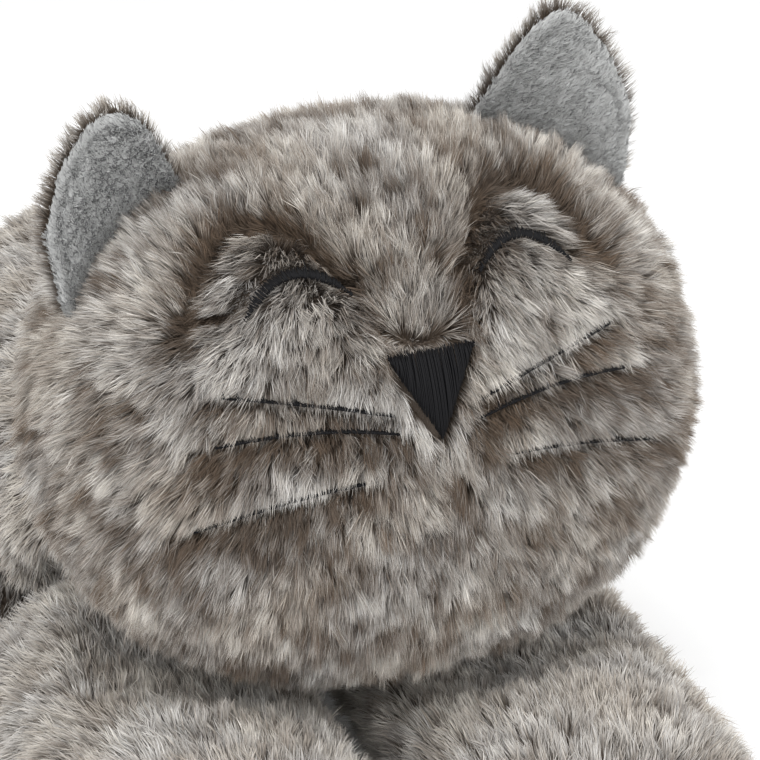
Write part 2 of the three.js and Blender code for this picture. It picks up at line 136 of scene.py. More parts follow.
# Seeds of the random draws: a pair adds 1 on the left and takes 1 away on the right.
SEEDS = {
    "forehead": 100, "cheek": 110, "head_back": 120, "ear": 200,
    "nose": 9, "eye": 31, "upper": 60, "middle": 65, "lower": 70,
    "neck": 55, "body_pile_left": 98, "body_pile_right": 105, "belly_pile": 70,
    "foreleg": 61, "hindleg": 62, "tail": 77,
}

# ---- stage, in metres from the middle of the head
KEY_PLACE, FILL_PLACE = Vector((-0.75, -1.1, 1.15)), Vector((1.1, -0.9, 0.8))
FILL_SHARE = 0.45
LAMP_SIZE = 1.4
AIM_RIGHT, AIM_UP = 0.0076, 0.003


# ---- settings


class PileSettings(bpy.types.PropertyGroup):
    """The long pile of the coat."""

    length: FloatProperty(
        name="Pile length", description="Length of a strand", default=0.0112, unit="LENGTH"
    )
    width: FloatProperty(
        name="Strand width", description="Width of a strand at its root", default=0.0003,
        unit="LENGTH",
    )
    lift: FloatProperty(
        name="Lift", description="How steeply the pile stands", default=math.radians(50),
        subtype="ANGLE",
    )
    tuft: FloatProperty(
        name="Tuft spacing", description="Distance between tufts", default=0.0036, unit="LENGTH"
    )
    face_density: FloatProperty(
        name="Face density", description="Strands per square millimetre on the face", default=6.6
    )
    coat_density: FloatProperty(
        name="Coat density", description="Strands per square millimetre elsewhere", default=1.25
    )
    root_colour: FloatVectorProperty(
        name="Root", description="Colour deep in the pile", subtype="COLOR", size=3,
        default=(0.070, 0.052, 0.038),
    )
    brown_colour: FloatVectorProperty(
        name="Brown", description="Colour of the darkest tips", subtype="COLOR", size=3,
        default=(0.115, 0.088, 0.066),
    )
    pale_colour: FloatVectorProperty(
        name="Pale", description="Colour of the palest tips", subtype="COLOR", size=3,
        default=(0.70, 0.675, 0.635),
    )


class EarSettings(bpy.types.PropertyGroup):
    """The short velboa pile that lines the ears."""

    length: FloatProperty(
        name="Velboa length", description="Length of the short pile", default=0.0024, unit="LENGTH"
    )
    density: FloatProperty(
        name="Velboa density", description="Strands per square millimetre", default=9.0
    )
    colour: FloatVectorProperty(
        name="Velboa", description="Colour of the ear lining", subtype="COLOR", size=3,
        default=(0.57, 0.575, 0.57),
    )


class ThreadSettings(bpy.types.PropertyGroup):
    """The embroidery thread."""

    radius: FloatProperty(
        name="Thread radius", description="Radius of one thread", default=0.00024, unit="LENGTH"
    )
    colour: FloatVectorProperty(
        name="Thread", description="Colour of the thread", subtype="COLOR", size=3,
        default=(0.003, 0.003, 0.0035),
    )


class StageSettings(bpy.types.PropertyGroup):
    """Floor, light and camera."""

    azimuth: FloatProperty(
        name="Camera azimuth", description="Camera's turn about the cat",
        default=math.radians(-17), subtype="ANGLE",
    )
    elevation: FloatProperty(
        name="Camera elevation", description="Camera's height angle", default=math.radians(18.4),
        subtype="ANGLE",
    )
    distance: FloatProperty(
        name="Camera distance", description="Camera to head", default=1.1, unit="LENGTH"
    )
    lens: FloatProperty(name="Lens", description="Focal length in millimetres", default=154.0)
    sky: FloatProperty(name="Sky", description="Strength of the white surroundings", default=0.9)
    key: FloatProperty(name="Key light", description="Power of the key light", default=28.0)


# ---- small helpers


def unit(vectors):
    return vectors / np.maximum(np.linalg.norm(vectors, axis=-1, keepdims=True), 1e-9)


def tangential(vectors, normals):
    return unit(vectors - (vectors * normals).sum(1, keepdims=True) * normals)


def ramp(values, start, end):
    """0 before the start, 1 past the end and even between them."""
    return np.clip((values - start) / (end - start), 0, 1)


def head_to_row(points):
    return points @ HEAD_TURN.T + HEAD_CENTRE


def row_to_head(points):
    return (points - HEAD_CENTRE) @ HEAD_TURN


def head_front(x, z, depth):
    """Points on the front of the head, a depth under the tips of the pile."""
    rest = 1 - np.abs(x / HEAD_HALF[0]) ** HEAD_POWER - np.abs(z / HEAD_HALF[2]) ** HEAD_POWER
    y = -HEAD_HALF[1] * np.maximum(rest, 0) ** (1 / HEAD_POWER) + depth
    return np.stack(np.broadcast_arrays(x, y, z), -1)


def line_height(line, x):
    """Height of a face line at |x|, and its weight: 1 along the line, 0 past its ends."""
    inner_x, inner_z, outer_x, outer_z, rise = line
    t = (np.abs(x) - inner_x) / (outer_x - inner_x)
    inside = np.clip(t, 0, 1)
    z = inner_z + (outer_z - inner_z) * inside + rise * (1 - (2 * inside - 1) ** 2)
    weight = np.exp(-(((t - inside) * (outer_x - inner_x) / 4) ** 2))
    return z, weight


def line_offset(line, x, z):
    """Distance above a face line, square to it, and the line's weight."""
    height, weight = line_height(line, x)
    slope = line_height(line, np.abs(x) + 0.5)[0] - line_height(line, np.abs(x) - 0.5)[0]
    return (z - height) / np.sqrt(1 + slope**2), weight


def add_stripes(total, stripes, distance, weight):
    """Adds the soft stripes beside a face line to an array."""
    for strength, middle, spread in stripes:
        total += strength * weight * np.exp(-(((distance - middle) / spread) ** 2))


def bridge_patch(patch, x, z):
    """The sides of the nose's bridge, in an array."""
    strength, middle_x, spread_x, middle_z, spread_z = patch
    across, up = (np.abs(x) - middle_x) / spread_x, (z - middle_z) / spread_z
    return strength * np.exp(-(across**2) - (up**2))


def waves(points, wavelength, seed, count=28):
    """A smooth random field from -1 to 1 with about this wavelength."""
    rng = np.random.default_rng(seed)
    ways = unit(rng.normal(size=(count, 3)))
    pace = 2 * math.pi / (wavelength * rng.uniform(0.7, 1.5, count))
    phase = rng.uniform(0, 2 * math.pi, count)
    total = np.sin((points @ ways.T) * pace + phase).sum(1)
    return np.tanh(total / math.sqrt(count) * 1.1)


def add_mesh(name, points, faces, material, uv=None):
    """A mesh object at the origin from millimetre points and rows of triangle corners."""
    mesh = bpy.data.meshes.new(name)
    mesh.vertices.add(len(points))
    mesh.vertices.foreach_set("co", (points * MM).astype(np.float32).ravel())
    mesh.loops.add(faces.size)
    mesh.loops.foreach_set("vertex_index", faces.astype(np.int32).ravel())
    mesh.polygons.add(len(faces))
    starts = np.arange(0, faces.size, faces.shape[1], dtype=np.int32)
    mesh.polygons.foreach_set("loop_start", starts)
    if uv is not None:
        layer = mesh.uv_layers.new(name="OFBake")
        layer.uv.foreach_set("vector", uv[faces.ravel()].astype(np.float32).ravel())
    mesh.materials.append(material)
    mesh.update(calc_edges=True)
    piece = bpy.data.objects.new(name, mesh)
    bpy.context.scene.collection.objects.link(piece)
    return piece


def surface_of(piece):
    """Vertex places in millimetres, triangle corners and vertex normals of a mesh piece."""
    mesh = piece.data
    mesh.calc_loop_triangles()
    points = np.empty(len(mesh.vertices) * 3)
    mesh.vertices.foreach_get("co", points)
    corners = np.empty(len(mesh.loop_triangles) * 3, np.int32)
    mesh.loop_triangles.foreach_get("vertices", corners)
    normals = np.empty(len(mesh.vertices) * 3, np.float32)
    mesh.vertex_normals.foreach_get("vector", normals)
    points = points.reshape(-1, 3) / MM
    return points, corners.reshape(-1, 3), normals.reshape(-1, 3).astype(float)


def scatter(piece, density, rng, share=None):
    """Random places on a piece, with the normals there. share thins them by place and normal."""
    points, corners, normals = surface_of(piece)
    a, b, c = points[corners[:, 0]], points[corners[:, 1]], points[corners[:, 2]]
    area = np.linalg.norm(np.cross(b - a, c - a), axis=1) / 2
    count = int(area.sum() * density)
    chosen = np.searchsorted(np.cumsum(area) / area.sum(), rng.random(count))
    chosen = np.minimum(chosen, len(corners) - 1)
    p, q = rng.random(count), rng.random(count)
    fold = p + q > 1
    p, q = np.where(fold, 1 - p, p), np.where(fold, 1 - q, q)
    weights = np.stack([1 - p - q, p, q], 1)[:, :, None]
    places = (points[corners[chosen]] * weights).sum(1)
    facing = unit((normals[corners[chosen]] * weights).sum(1))
    if share is not None:
        kept = rng.random(count) < share(places, facing)
        places, facing = places[kept], facing[kept]
    return places, facing


def tuft_of(places, spacing, rng):
    """The index of each strand's tuft, and the strands at the tufts' middles."""
    count = len(places)
    seeds = rng.permutation(count)
    cells = np.floor(places[seeds] / spacing + rng.random(3)).astype(np.int64)
    key = cells @ np.array([73856093, 19349663, 83492791])
    _, first = np.unique(key, return_index=True)
    middles = seeds[first]
    tree = kdtree.KDTree(len(middles))
    for index, place in enumerate(places[middles]):
        tree.insert(place, index)
    tree.balance()
    own = np.fromiter((tree.find(place)[1] for place in places), np.int64, count)
    return own, middles


def grow_pile(name, places, normals, flow, material, rng, *, length, width, lift, tuft,
              tone=0.0, cut=None, floor=0.4, gather=0.42, sway=0.26, curved=0.25, uneven=1.0):
    """Pile as strands gathered in tufts, some bent, of three triangles, the rest straight."""
    count = len(places)
    own, middles = tuft_of(places, tuft, rng)
    along = tangential(flow(places, normals), normals)
    across = np.cross(normals, along)
    tufts = len(middles)
    tuft_turn = rng.normal(0, sway, tufts)
    tuft_size = rng.normal(1, TUFT_SIZE_SPREAD, tufts)
    tuft_lift = rng.normal(0, TUFT_LIFT_SPREAD, tufts)
    turn = (tuft_turn[own] + rng.normal(0, sway * 0.9, count))[:, None]
    lean = unit(along + across * np.tan(np.clip(turn, -1.2, 1.2)))
    size = length * tuft_size[own] * rng.normal(1, STRAND_SIZE_SPREAD, count)
    angle = lift + tuft_lift[own] + rng.normal(0, STRAND_LIFT_SPREAD, count)
    angle = np.clip(angle, LOWEST_LIFT, HIGHEST_LIFT)
    reach = (size * np.cos(angle))[:, None]
    height = (size * np.sin(angle))[:, None]
    tips = places + lean * reach + normals * height
    middle_tips = tips[middles][own]
    pull = gather * rng.uniform(0.5, 1.15, count)[:, None]
    toward = middle_tips - tips
    side_pull = toward - (toward * lean).sum(1, keepdims=True) * lean
    tips = tips + side_pull * pull + (toward - side_pull) * pull * 0.35
    bends = places + lean * reach * BEND_ALONG + normals * height * BEND_UP
    bends = bends + side_pull * pull * 0.32
    tips[:, 2] -= SAG * size
    if cut is not None:
        kept = cut(places, tips, rng)[:, None]
        tips, bends = places + (tips - places) * kept, places + (bends - places) * kept
    roll = rng.normal(0, STRAND_ROLL, count)[:, None]
    side = unit(np.cross(normals, lean)) * np.cos(roll) + normals * np.sin(roll)
    half = side * (width * rng.uniform(0.75, 1.2, count) / 2)[:, None]
    bent = rng.random(count) < curved
    straight = ~bent
    five = [places - half, places + half, bends - half * 0.92, bends + half * 0.92, tips]
    five = np.stack(five, 1)[bent]
    three = np.stack([places - half * 1.25, places + half * 1.25, tips], 1)[straight]
    points = np.concatenate([five.reshape(-1, 3), three.reshape(-1, 3)])
    points[:, 2] = np.maximum(points[:, 2], floor)
    first = np.arange(len(five))[:, None, None] * 5
    pattern = np.array([[0, 3, 1], [0, 2, 3], [2, 4, 3]])
    lone = 5 * len(five) + np.arange(3 * len(three)).reshape(-1, 3)[:, [0, 2, 1]]
    faces = np.concatenate([(first + pattern[None]).reshape(-1, 3), lone])
    mottled = sum(strength * waves(places, size, seed) for strength, size, seed in MOTTLES)
    strand_tone = rng.normal(0, 0.10, tufts)[own] + rng.normal(0, 0.14, count)
    strand_tone = 0.43 + 0.48 * mottled * (0.4 + 0.6 * uneven) + strand_tone * uneven
    strand_tone = strand_tone + (tone(places) if callable(tone) else tone)
    level = np.clip(np.round(strand_tone * (TONES - 1)), 0, TONES - 1)
    hue = np.clip(0.5 + 0.3 * waves(places, 34, 21) + rng.normal(0, 0.2, count), 0, 1)
    u = (level + 0.1 + 0.7 * hue) / TONES
    maps = []
    for chosen, (sideways, upward) in ((bent, BENT_MAP), (straight, STRAIGHT_MAP)):
        uv = np.empty((chosen.sum(), len(sideways), 2))
        uv[:, :, 0] = u[chosen][:, None] + np.array(sideways) * BLADE_MAP_WIDTH
        uv[:, :, 1] = upward
        maps.append(uv.reshape(-1, 2))
    piece = add_mesh(name, points, faces, material, np.concatenate(maps))
    piece.data.shade_smooth()
    return piece


def threads(name, paths, normals, radius, material, sides=6, flatten=0.75):
    """Threads along rows of points, each a closed round tube with drawn-in ends."""
    count, steps, _ = paths.shape
    ahead = unit(np.gradient(paths, axis=1))
    side = unit(np.cross(ahead, normals))
    up = np.cross(side, ahead)
    turns = np.arange(sides) * 2 * math.pi / sides
    taper = np.ones(steps)
    taper[0] = taper[-1] = 0.55
    wide = side[:, :, None, :] * np.cos(turns)[None, None, :, None]
    tall = up[:, :, None, :] * np.sin(turns)[None, None, :, None] * flatten
    rings = paths[:, :, None, :] + (wide + tall) * radius * taper[None, :, None, None]
    caps = paths[:, [0, -1]] + ahead[:, [0, -1]] * radius * 0.6 * [[-1], [1]]
    points = np.concatenate([rings.reshape(count, -1, 3), caps], 1)
    per = points.shape[1]
    faces = []
    for ring in range(steps - 1):
        for k in range(sides):
            a, b = ring * sides + k, ring * sides + (k + 1) % sides
            faces += [(a, b, b + sides), (a, b + sides, a + sides)]
    last = (steps - 1) * sides
    for k in range(sides):
        faces += [(k, steps * sides, (k + 1) % sides)]
        faces += [(last + k, last + (k + 1) % sides, steps * sides + 1)]
    faces = (np.arange(count)[:, None, None] * per + np.array(faces)[None]).reshape(-1, 3)
    uv = np.empty((count, per, 2))
    uv[:, : steps * sides, 0] = np.repeat(np.linspace(0.02, 0.98, steps), sides)
    uv[:, : steps * sides, 1] = np.tile(np.linspace(0.05, 0.95, sides), steps)
    uv[:, -2], uv[:, -1] = (0.0, 0.5), (1.0, 0.5)
    piece = add_mesh(name, points.reshape(-1, 3), faces, material, uv.reshape(-1, 2))
    face_outward(piece)
    piece.data.shade_smooth()
    return piece


def only(piece):
    for other in bpy.context.selected_objects:
        other.select_set(False)
    piece.select_set(True)
    bpy.context.view_layer.objects.active = piece


def face_outward(piece):
    only(piece)
    bpy.ops.object.mode_set(mode="EDIT")
    bpy.ops.mesh.select_all(action="SELECT")
    bpy.ops.mesh.normals_make_consistent(inside=False)
    bpy.ops.object.mode_set(mode="OBJECT")


def apply_all(piece):
    only(piece)
    for modifier in list(piece.modifiers):
        bpy.ops.object.modifier_apply(modifier=modifier.name)


# ---- finishes


def new_material(name):
    material = bpy.data.materials.new(name)
    material.use_nodes = True
    nodes = material.node_tree.nodes
    shader = nodes["Principled BSDF"]
    return material, nodes, material.node_tree.links, shader


def shade(colour, strength):
    return tuple(v * strength for v in colour)


def set_inputs(node, **values):
    """Sets inputs by name, with _ for a space."""
    for name, value in values.items():
        node.inputs[name.replace("_", " ")].default_value = value


def placed(nodes, links, kind, vector, **values):
    """A node read at a place, with some of its inputs set."""
    node = nodes.new(kind)
    links.new(vector, node.inputs["Vector"])
    set_inputs(node, **values)
    return node


def add_bump(nodes, links, shader, height, strength, distance):
    bump = nodes.new("ShaderNodeBump")
    set_inputs(bump, Strength=strength, Distance=distance)
    links.new(height, bump.inputs["Height"])
    links.new(bump.outputs[0], shader.inputs["Normal"])


def math_node(nodes, links, operation, first, second=None):
    node = nodes.new("ShaderNodeMath")
    node.operation = operation
    for socket, value in zip(node.inputs, (first, second)):
        if hasattr(value, "links"):
            links.new(value, socket)
        elif value is not None:
            socket.default_value = value
    return node.outputs[0]


def mix_colour(nodes, links, factor, first, second):
    node = nodes.new("ShaderNodeMix")
    node.data_type = "RGBA"
    sockets = (node.inputs["Factor"], node.inputs[6], node.inputs[7])
    for socket, value in zip(sockets, (factor, first, second)):
        if hasattr(value, "links"):
            links.new(value, socket)
        elif isinstance(value, (int, float)):
            socket.default_value = value
        else:
            socket.default_value = (*value, 1)
    return node.outputs[2]


def strand_map_group():
    """Tone, hue and height of a strand, read from the pile's own map."""
    if "strand map" in bpy.data.node_groups:
        return bpy.data.node_groups["strand map"]
    group = bpy.data.node_groups.new("strand map", "ShaderNodeTree")
    for label in ("Tone", "Hue", "Height"):
        group.interface.new_socket(label, in_out="OUTPUT", socket_type="NodeSocketFloat")
    nodes, links = group.nodes, group.links
    uv = nodes.new("ShaderNodeUVMap")
    uv.uv_map = "OFBake"
    split = nodes.new("ShaderNodeSeparateXYZ")
    links.new(uv.outputs[0], split.inputs[0])
    column = math_node(nodes, links, "MULTIPLY", split.outputs[0], float(TONES))
    level = math_node(nodes, links, "FLOOR", column)
    tone = math_node(nodes, links, "DIVIDE", level, float(TONES - 1))
    hue = math_node(nodes, links, "FRACT", column)
    out = nodes.new("NodeGroupOutput")
    links.new(tone, out.inputs[0])
    links.new(hue, out.inputs[1])
    links.new(split.outputs[1], out.inputs[2])
    return group


def pile_material():
    """Long pile: dark roots, brown middles and pale tips, each strand its own tone and hue."""
    if "long pile" in bpy.data.materials:
        return bpy.data.materials["long pile"]
    look = bpy.context.scene.cat_pile
    material, nodes, links, shader = new_material("long pile")
    strand = nodes.new("ShaderNodeGroup")
    strand.node_tree = strand_map_group()
    tone, hue, height = strand.outputs
    brown, pale = look.brown_colour, look.pale_colour
    warm = (brown[0] * 1.12, brown[1] * 0.97, brown[2] * 0.82)
    cool = (brown[0] * 0.86, brown[1] * 0.95, brown[2] * 1.08)
    dark_tip = mix_colour(nodes, links, hue, cool, warm)
    pale_cool = (pale[0] * 0.97, pale[1], pale[2] * 1.05)
    pale_warm = (pale[0], pale[1] * 0.955, pale[2] * 0.88)
    pale_tip = mix_colour(nodes, links, hue, pale_cool, pale_warm)
    tip = mix_colour(nodes, links, tone, dark_tip, pale_tip)
    rise = nodes.new("ShaderNodeMapRange")
    rise.interpolation_type = "SMOOTHSTEP"
    set_inputs(rise, From_Min=0.12, From_Max=0.78)
    links.new(height, rise.inputs["Value"])
    colour = mix_colour(nodes, links, rise.outputs[0], tuple(look.root_colour), tip)
    links.new(colour, shader.inputs["Base Color"])
    set_inputs(shader, Roughness=0.62, Specular_IOR_Level=0.15,
               Sheen_Weight=0.05, Sheen_Roughness=0.4)
    return material


def velboa_material():
    """Short grey pile, a little darker at the root, with its nap in faint streaks."""
    if "velboa pile" in bpy.data.materials:
        return bpy.data.materials["velboa pile"]
    grey = bpy.context.scene.cat_ear.colour
    material, nodes, links, shader = new_material("velboa pile")
    strand = nodes.new("ShaderNodeGroup")
    strand.node_tree = strand_map_group()
    tone, hue, height = strand.outputs
    tip = mix_colour(nodes, links, tone, shade(grey, 0.88), shade(grey, 1.12))
    root = mix_colour(nodes, links, hue, shade(grey, 0.72), shade(grey, 0.82))
    colour = mix_colour(nodes, links, height, root, tip)
    links.new(colour, shader.inputs["Base Color"])
    set_inputs(shader, Roughness=0.7, Specular_IOR_Level=0.2, Sheen_Weight=0.2)
    return material


def backing_material(name, dark, light):
    """Knitted backing cloth: rows of small loops with an uneven dye."""
    if name in bpy.data.materials:
        return bpy.data.materials[name]
    material, nodes, links, shader = new_material(name)
    place = nodes.new("ShaderNodeTexCoord").outputs["Object"]
    dye = placed(nodes, links, "ShaderNodeTexNoise", place, Scale=90, Detail=4)
    colour = mix_colour(nodes, links, dye.outputs["Fac"], dark, light)
    links.new(colour, shader.inputs["Base Color"])
    loops = placed(nodes, links, "ShaderNodeTexWave", place,
                   Scale=380, Distortion=2.5, Detail_Scale=3)
    add_bump(nodes, links, shader, loops.outputs["Fac"], 0.5, 0.0004)
    set_inputs(shader, Roughness=0.9)
    return material


def thread_material():
    """Black rayon thread: satin, with the twist of its fibres."""
    base = tuple(bpy.context.scene.cat_thread.colour)
    material, nodes, links, shader = new_material("embroidery thread")
    uv = nodes.new("ShaderNodeUVMap")
    uv.uv_map = "OFBake"
    turn = placed(nodes, links, "ShaderNodeMapping", uv.outputs[0],
                  Rotation=(0, 0, math.radians(35)), Scale=(9, 3, 1))
    twist = placed(nodes, links, "ShaderNodeTexWave", turn.outputs[0], Scale=2, Distortion=1)
    colour = mix_colour(nodes, links, twist.outputs["Fac"], base, shade(base, 2.6))
    links.new(colour, shader.inputs["Base Color"])
    add_bump(nodes, links, shader, twist.outputs["Fac"], 0.3, 0.0001)
    set_inputs(shader, Roughness=0.5, Specular_IOR_Level=0.12)
    return material


def tape_material():
    """White satin label tape: fine ribs across it."""
    material, nodes, links, shader = new_material("label tape")
    place = nodes.new("ShaderNodeTexCoord").outputs["Object"]
    ribs = placed(nodes, links, "ShaderNodeTexWave", place, Scale=500)
    colour = mix_colour(nodes, links, ribs.outputs["Fac"], (0.72, 0.71, 0.68), (0.82, 0.81, 0.79))
    links.new(colour, shader.inputs["Base Color"])
    add_bump(nodes, links, shader, ribs.outputs["Fac"], 0.4, 0.0002)
    set_inputs(shader, Roughness=0.35)
    return material


# ---- the face's relief


def face_relief(local):
    """How far the head's cloth rises or sinks under the face, by place in the head's axes."""
    x, z = local[:, 0], local[:, 2]
    rise = np.zeros(len(local))
    add_stripes(rise, EYE_RELIEF, *line_offset(EYE_LINE, x, z))
    add_stripes(rise, BROW_RELIEF, *line_offset(BROW_LINE, x, z))
    for line in WHISKER_LINES.values():
        line_z, weight = line_height(line, x)
        add_stripes(rise, WHISKER_RELIEF, z - line_z, weight)
    chin_seam = ramp(z, -4, -14) * ramp(z, -70, -50)
    rise -= 3.0 * chin_seam * np.exp(-((x / 4.0) ** 2))
    rise += bridge_patch(BRIDGE_RELIEF, x, z)
    return rise * ramp(local[:, 1], 0, -30)


def face_cut(places, tips, rng):
    """What is left of each strand's length, so that none lies across a stitched line."""
    root, tip = row_to_head(places), row_to_head(tips)
    front = root[:, 1] < 0
    share = np.where(over_nose(tip, 0.8), 0.4, 1.0)
    brow, weight = line_offset(BROW_LINE, root[:, 0], root[:, 2])
    share = share * (1 - 0.45 * weight * np.exp(-((brow / 4) ** 2)) * front)
    for line in [EYE_LINE, *WHISKER_LINES.values()]:
        eye = line is EYE_LINE
        band, early, spread = (1.5, -0.02, 0.05) if eye else (0.2, 0.10, 0.22)
        at_root, weight = line_height(line, root[:, 0])
        at_tip, weight_tip = line_height(line, tip[:, 0])
        before, after = root[:, 2] - at_root, tip[:, 2] - at_tip
        along = (np.maximum(weight, weight_tip) > 0.5) & front
        edge = np.sign(before) * band
        crossing = (before * after < 0) | (np.abs(after) < band)
        part = np.clip((before - edge) / (before - after + 1e-6), 0, 1)
        part = np.clip(part + rng.normal(early, spread, len(places)), 0.22, 1)
        share = np.where(along & crossing, np.minimum(share, part), share)
        share = np.where(along & (np.abs(before) < band), 0.22 if eye else 0.5, share)
    return share


def over_nose(local, margin):
    """True where the nose's stitching lies."""
    x, z = np.abs(local[:, 0]), local[:, 2]
    share = (z - NOSE_TIP) / (NOSE_TOP - NOSE_TIP)
    inside = (z < NOSE_TOP + margin * 0.6) & (x < NOSE_HALF_WIDTH * share + margin)
    return inside & (local[:, 1] < 0)


def head_flow(places, normals):
    """The nap of the head: up above the brows, down below them, outward, and back all round."""
    x, y, z = row_to_head(places).T
    wide = np.abs(x)
    inner_x, inner_z, outer_x, outer_z, _ = BROW_LINE
    brow_z, _ = line_height(BROW_LINE, x)
    parting = np.where(wide < inner_x, 26 + (wide / inner_x) ** 2 * (inner_z - 26), brow_z)
    parting = np.where(wide > outer_x, outer_z - (wide - outer_x) * 0.2, parting)
    above = np.tanh((z - parting) / np.where(wide > 60, 9, 3.0))
    side = ramp(wide, 45, 95)
    out = np.sign(x) * (0.2 + 0.9 * side) * ramp(wide, 0, 25)
    way = np.stack([out, np.full(len(x), 0.25), above * (1.05 - 0.55 * side)], 1)
    low = ramp(z, -10, -70)[:, None]
    downward = np.stack([0.35 * np.tanh(x / 40), np.zeros(len(x)), np.full(len(x), -1.0)], 1)
    way = way * (1 - low * 0.5) + low * downward
    behind = ramp(y, -10, 40)[:, None]
    way = way * (1 - behind) + behind * np.array([0.0, 0.35, -1.0])
    return way @ HEAD_TURN.T


# ---- bags and coats


def finish(piece, body):
    """Joins a piece to its body."""
    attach(piece, body)


def bag(node, name, body, backing=COAT_BACKING,
        voxel=0.0045, smoothing=8):
    """The cloth under the pile: a CAD node's form, merged, rounded and smoothed."""
    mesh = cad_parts[node].data.copy()
    mesh.name = name
    mesh.materials.clear()
    mesh.materials.append(backing_material(*backing))
    piece = bpy.data.objects.new(name, mesh)
    bpy.context.scene.collection.objects.link(piece)
    only(piece)
    bpy.ops.object.mode_set(mode="EDIT")
    bpy.ops.mesh.select_all(action="SELECT")
    bpy.ops.mesh.remove_doubles(threshold=0.00001)
    bpy.ops.object.mode_set(mode="OBJECT")
    remesh = piece.modifiers.new("even", "REMESH")
    remesh.mode = "VOXEL"
    remesh.voxel_size = voxel
    smooth = piece.modifiers.new("rounded", "SMOOTH")
    smooth.factor = 0.5
    smooth.iterations = smoothing
    apply_all(piece)
    piece.data.shade_smooth()
    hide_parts(node)
    finish(piece, body)
    return piece


def coat(skin, name, body, flow, rng, replaced, density, share=None, broad=COAT_BROAD, **changes):
    """The pile of one bag."""
    pile = bpy.context.scene.cat_pile
    places, normals = scatter(skin, density, rng, share)
    options = dict(length=pile.length / MM, width=pile.width / MM * broad, lift=pile.lift,
                   tuft=pile.tuft / MM * COAT_TUFT)
    options.update(changes)
    fur = grow_pile(name, places, normals, flow, pile_material(), rng, **options)
    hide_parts(*replaced)
    finish(fur, body)


# ---- operators


class CAT_OT_head(bpy.types.Operator):
    """Makes the head's stuffed bag and the pile on its face and back"""

    bl_idname = "cat.head"
    bl_label = "Head"

    def execute(self, context):
        pile = context.scene.cat_pile
        cloth = backing_material(*COAT_BACKING)
        bpy.ops.mesh.primitive_uv_sphere_add(segments=128, ring_count=80, radius=1)
        skin = context.active_object
        skin.name = skin.data.name = "head_skin"
        ways = unit(np.array([v.co for v in skin.data.vertices]))
        half = HEAD_HALF - SKIN_INSET
        size = (np.abs(ways / half) ** HEAD_POWER).sum(1) ** (-1 / HEAD_POWER)
        local = ways * size[:, None]
        local = local + unit(local / half**2) * face_relief(local)[:, None]
        skin.data.vertices.foreach_set("co", (head_to_row(local) * MM).ravel())
        skin.data.materials.append(cloth)
        skin.data.update()
        skin.data.shade_smooth()
        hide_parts("head_stuffing")
        finish(skin, "head")

        def share(part, sign):
            def kept(places, normals):
                local = row_to_head(places)
                front = local[:, 1] < 0
                high = local[:, 2] > FOREHEAD_START
                own = {"forehead": front & high, "cheek": front & ~high, "head_back": ~front}[part]
                own &= (local[:, 0] > 0) == (sign > 0)
                own &= ~over_nose(local, 1.0)
                own &= np.linalg.norm(places - NECK_CENTRE, axis=1) > NECK_CLEARANCE
                return own.astype(float)

            return kept

        # Tone of the face's strands by place: painted shade in the creases under the eye lines, in
        # the brow valleys, beside the bridge, under the whisker furrows and towards the chin; paler
        # stripes by the eyes and above the whiskers; a little darker over the lower outer cheeks.
        def tone(places):
            local = row_to_head(places)
            x, z = local[:, 0], local[:, 2]
            change = np.zeros(len(local))
            add_stripes(change, EYE_TONES_AND_SHADE, *line_offset(EYE_LINE, x, z))
            add_stripes(change, BROW_PAINTED_SHADE, *line_offset(BROW_LINE, x, z))
            change += bridge_patch(BRIDGE_PAINTED_SHADE, x, z)
            for line in WHISKER_LINES.values():
                line_z, weight = line_height(line, x)
                add_stripes(change, WHISKER_TONES_AND_SHADE, z - line_z, weight)
            cheeks = ramp(z, 30, 10) * ramp(np.abs(x), 10, 35)
            # Painted shade: the strands darken towards the chin.
            low = ramp(z, -5, -25)
            front = local[:, 1] < 0
            return (change - 0.07 * cheeks - 0.02 - 0.07 * low) * front

        for part, density in (
            ("forehead", pile.face_density),
            ("cheek", pile.face_density),
            ("head_back", pile.coat_density * 1.5),
        ):
            behind = part == "head_back"
            for side, sign in SIDES:
                rng = np.random.default_rng(SEEDS[part] + sign)
                places, normals = scatter(skin, density, rng, share(part, sign))
                fur = grow_pile(
                    f"{part}_pile_{side}", places, normals, head_flow, pile_material(), rng,
                    length=pile.length / MM, width=pile.width / MM * (COAT_BROAD if behind else 1),
                    lift=pile.lift, tuft=pile.tuft / MM, tone=tone, cut=face_cut,
                )
                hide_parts(f"head_{'back' if behind else 'face'}_{side}")
                finish(fur, "head")
        return {"FINISHED"}


class CAT_OT_body(bpy.types.Operator):
    """Makes the stuffed body and its pile"""

    bl_idname = "cat.body"
    bl_label = "Body"

    def execute(self, context):
        pile = context.scene.cat_pile
        skin = bag("body_stuffing", "body_skin", "torso")

        def flow(places, normals):
            side = ramp(np.abs(places[:, 0]), 0, 90)
            return np.stack([0.1 * places[:, 0] / 90, 1.0 - 0.45 * side, -0.15 - 0.75 * side], 1)

        def left(places, normals):
            return (places[:, 0] > 0) & (places[:, 2] > BELLY_TOP)

        def right(places, normals):
            return (places[:, 0] <= 0) & (places[:, 2] > BELLY_TOP)

        def belly(places, normals):
            return (places[:, 2] <= BELLY_TOP) * 0.6

        for name, share, node in (
            ("body_pile_left", left, "body_side_left"),
            ("body_pile_right", right, "body_side_right"),
            ("belly_pile", belly, "body_belly"),
        ):
            rng = np.random.default_rng(SEEDS[name])
            coat(skin, name, "torso", flow, rng, [node], pile.coat_density * 0.9, share=share,
                 tone=0.17, uneven=0.45, lift=LOW_COAT_LIFT, broad=LOW_COAT_BROAD)
        return {"FINISHED"}


